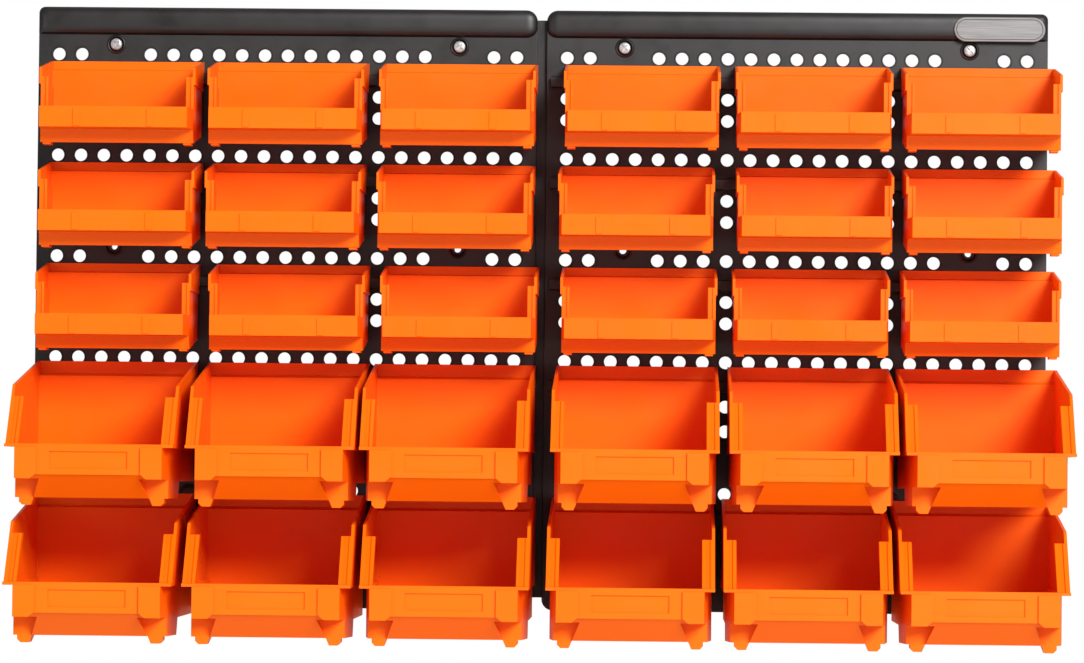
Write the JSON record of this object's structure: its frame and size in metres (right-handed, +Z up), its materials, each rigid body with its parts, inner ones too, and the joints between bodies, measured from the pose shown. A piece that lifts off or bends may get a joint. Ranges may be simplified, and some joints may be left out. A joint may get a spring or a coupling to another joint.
{
  "type": "wall storage bin organiser",
  "caption": "Wall-mounted pegboard panels with upturned rails that carry lift-off open-front parts bins in small and medium sizes.",
  "frame": {"origin": "back face of the joining flange between the two panels, in the wall plane, half way up the panels", "axes": "+X to the right seen from the front, +Y into the wall, +Z up; the bins face -Y"},
  "size_m": [0.6469, 0.1681, 0.399],
  "materials": {
    "black_panel": "satin moulded black polypropylene",
    "orange_bin": "semi-gloss moulded orange polypropylene",
    "zinc_screw": "bright zinc plate",
    "silver_badge": "satin silver, blank"
  },
  "bodies": {
    "wall_board": {"panel_left": "black_panel", "panel_right": "black_panel", "badge_plate": "silver_badge", "screw_left_1": "zinc_screw", "screw_left_2": "zinc_screw", "screw_right_1": "zinc_screw", "screw_right_2": "zinc_screw"},
    "bin_small_r1_c1": {"bin_small_r1_c1": "orange_bin"},
    "bin_small_r1_c2": {"bin_small_r1_c2": "orange_bin"},
    "bin_small_r1_c3": {"bin_small_r1_c3": "orange_bin"},
    "bin_small_r1_c4": {"bin_small_r1_c4": "orange_bin"},
    "bin_small_r1_c5": {"bin_small_r1_c5": "orange_bin"},
    "bin_small_r1_c6": {"bin_small_r1_c6": "orange_bin"},
    "bin_small_r2_c1": {"bin_small_r2_c1": "orange_bin"},
    "bin_small_r2_c2": {"bin_small_r2_c2": "orange_bin"},
    "bin_small_r2_c3": {"bin_small_r2_c3": "orange_bin"},
    "bin_small_r2_c4": {"bin_small_r2_c4": "orange_bin"},
    "bin_small_r2_c5": {"bin_small_r2_c5": "orange_bin"},
    "bin_small_r2_c6": {"bin_small_r2_c6": "orange_bin"},
    "bin_small_r3_c1": {"bin_small_r3_c1": "orange_bin"},
    "bin_small_r3_c2": {"bin_small_r3_c2": "orange_bin"},
    "bin_small_r3_c3": {"bin_small_r3_c3": "orange_bin"},
    "bin_small_r3_c4": {"bin_small_r3_c4": "orange_bin"},
    "bin_small_r3_c5": {"bin_small_r3_c5": "orange_bin"},
    "bin_small_r3_c6": {"bin_small_r3_c6": "orange_bin"},
    "bin_medium_r4_c1": {"bin_medium_r4_c1": "orange_bin"},
    "bin_medium_r4_c2": {"bin_medium_r4_c2": "orange_bin"},
    "bin_medium_r4_c3": {"bin_medium_r4_c3": "orange_bin"},
    "bin_medium_r4_c4": {"bin_medium_r4_c4": "orange_bin"},
    "bin_medium_r4_c5": {"bin_medium_r4_c5": "orange_bin"},
    "bin_medium_r4_c6": {"bin_medium_r4_c6": "orange_bin"},
    "bin_medium_r5_c1": {"bin_medium_r5_c1": "orange_bin"},
    "bin_medium_r5_c2": {"bin_medium_r5_c2": "orange_bin"},
    "bin_medium_r5_c3": {"bin_medium_r5_c3": "orange_bin"},
    "bin_medium_r5_c4": {"bin_medium_r5_c4": "orange_bin"},
    "bin_medium_r5_c5": {"bin_medium_r5_c5": "orange_bin"},
    "bin_medium_r5_c6": {"bin_medium_r5_c6": "orange_bin"}
  },
  "joints": [
    {"name": "bin_small_r1_c1_lift", "type": "slide", "parent": "wall_board", "child": "bin_small_r1_c1", "axis": [0, 0, 1], "range_m": [0, 0.006]},
    {"name": "bin_small_r1_c2_lift", "type": "slide", "parent": "wall_board", "child": "bin_small_r1_c2", "axis": [0, 0, 1], "range_m": [0, 0.006]},
    {"name": "bin_small_r1_c3_lift", "type": "slide", "parent": "wall_board", "child": "bin_small_r1_c3", "axis": [0, 0, 1], "range_m": [0, 0.006]},
    {"name": "bin_small_r1_c4_lift", "type": "slide", "parent": "wall_board", "child": "bin_small_r1_c4", "axis": [0, 0, 1], "range_m": [0, 0.006]},
    {"name": "bin_small_r1_c5_lift", "type": "slide", "parent": "wall_board", "child": "bin_small_r1_c5", "axis": [0, 0, 1], "range_m": [0, 0.006]},
    {"name": "bin_small_r1_c6_lift", "type": "slide", "parent": "wall_board", "child": "bin_small_r1_c6", "axis": [0, 0, 1], "range_m": [0, 0.006]},
    {"name": "bin_small_r2_c1_lift", "type": "slide", "parent": "wall_board", "child": "bin_small_r2_c1", "axis": [0, 0, 1], "range_m": [0, 0.006]},
    {"name": "bin_small_r2_c2_lift", "type": "slide", "parent": "wall_board", "child": "bin_small_r2_c2", "axis": [0, 0, 1], "range_m": [0, 0.006]},
    {"name": "bin_small_r2_c3_lift", "type": "slide", "parent": "wall_board", "child": "bin_small_r2_c3", "axis": [0, 0, 1], "range_m": [0, 0.006]},
    {"name": "bin_small_r2_c4_lift", "type": "slide", "parent": "wall_board", "child": "bin_small_r2_c4", "axis": [0, 0, 1], "range_m": [0, 0.006]},
    {"name": "bin_small_r2_c5_lift", "type": "slide", "parent": "wall_board", "child": "bin_small_r2_c5", "axis": [0, 0, 1], "range_m": [0, 0.006]},
    {"name": "bin_small_r2_c6_lift", "type": "slide", "parent": "wall_board", "child": "bin_small_r2_c6", "axis": [0, 0, 1], "range_m": [0, 0.006]},
    {"name": "bin_small_r3_c1_lift", "type": "slide", "parent": "wall_board", "child": "bin_small_r3_c1", "axis": [0, 0, 1], "range_m": [0, 0.006]},
    {"name": "bin_small_r3_c2_lift", "type": "slide", "parent": "wall_board", "child": "bin_small_r3_c2", "axis": [0, 0, 1], "range_m": [0, 0.006]},
    {"name": "bin_small_r3_c3_lift", "type": "slide", "parent": "wall_board", "child": "bin_small_r3_c3", "axis": [0, 0, 1], "range_m": [0, 0.006]},
    {"name": "bin_small_r3_c4_lift", "type": "slide", "parent": "wall_board", "child": "bin_small_r3_c4", "axis": [0, 0, 1], "range_m": [0, 0.006]},
    {"name": "bin_small_r3_c5_lift", "type": "slide", "parent": "wall_board", "child": "bin_small_r3_c5", "axis": [0, 0, 1], "range_m": [0, 0.006]},
    {"name": "bin_small_r3_c6_lift", "type": "slide", "parent": "wall_board", "child": "bin_small_r3_c6", "axis": [0, 0, 1], "range_m": [0, 0.006]},
    {"name": "bin_medium_r4_c1_lift", "type": "slide", "parent": "wall_board", "child": "bin_medium_r4_c1", "axis": [0, 0, 1], "range_m": [0, 0.006]},
    {"name": "bin_medium_r4_c2_lift", "type": "slide", "parent": "wall_board", "child": "bin_medium_r4_c2", "axis": [0, 0, 1], "range_m": [0, 0.006]},
    {"name": "bin_medium_r4_c3_lift", "type": "slide", "parent": "wall_board", "child": "bin_medium_r4_c3", "axis": [0, 0, 1], "range_m": [0, 0.006]},
    {"name": "bin_medium_r4_c4_lift", "type": "slide", "parent": "wall_board", "child": "bin_medium_r4_c4", "axis": [0, 0, 1], "range_m": [0, 0.006]},
    {"name": "bin_medium_r4_c5_lift", "type": "slide", "parent": "wall_board", "child": "bin_medium_r4_c5", "axis": [0, 0, 1], "range_m": [0, 0.006]},
    {"name": "bin_medium_r4_c6_lift", "type": "slide", "parent": "wall_board", "child": "bin_medium_r4_c6", "axis": [0, 0, 1], "range_m": [0, 0.006]},
    {"name": "bin_medium_r5_c1_lift", "type": "slide", "parent": "wall_board", "child": "bin_medium_r5_c1", "axis": [0, 0, 1], "range_m": [0, 0.006]},
    {"name": "bin_medium_r5_c2_lift", "type": "slide", "parent": "wall_board", "child": "bin_medium_r5_c2", "axis": [0, 0, 1], "range_m": [0, 0.006]},
    {"name": "bin_medium_r5_c3_lift", "type": "slide", "parent": "wall_board", "child": "bin_medium_r5_c3", "axis": [0, 0, 1], "range_m": [0, 0.006]},
    {"name": "bin_medium_r5_c4_lift", "type": "slide", "parent": "wall_board", "child": "bin_medium_r5_c4", "axis": [0, 0, 1], "range_m": [0, 0.006]},
    {"name": "bin_medium_r5_c5_lift", "type": "slide", "parent": "wall_board", "child": "bin_medium_r5_c5", "axis": [0, 0, 1], "range_m": [0, 0.006]},
    {"name": "bin_medium_r5_c6_lift", "type": "slide", "parent": "wall_board", "child": "bin_medium_r5_c6", "axis": [0, 0, 1], "range_m": [0, 0.006]}
  ]
}
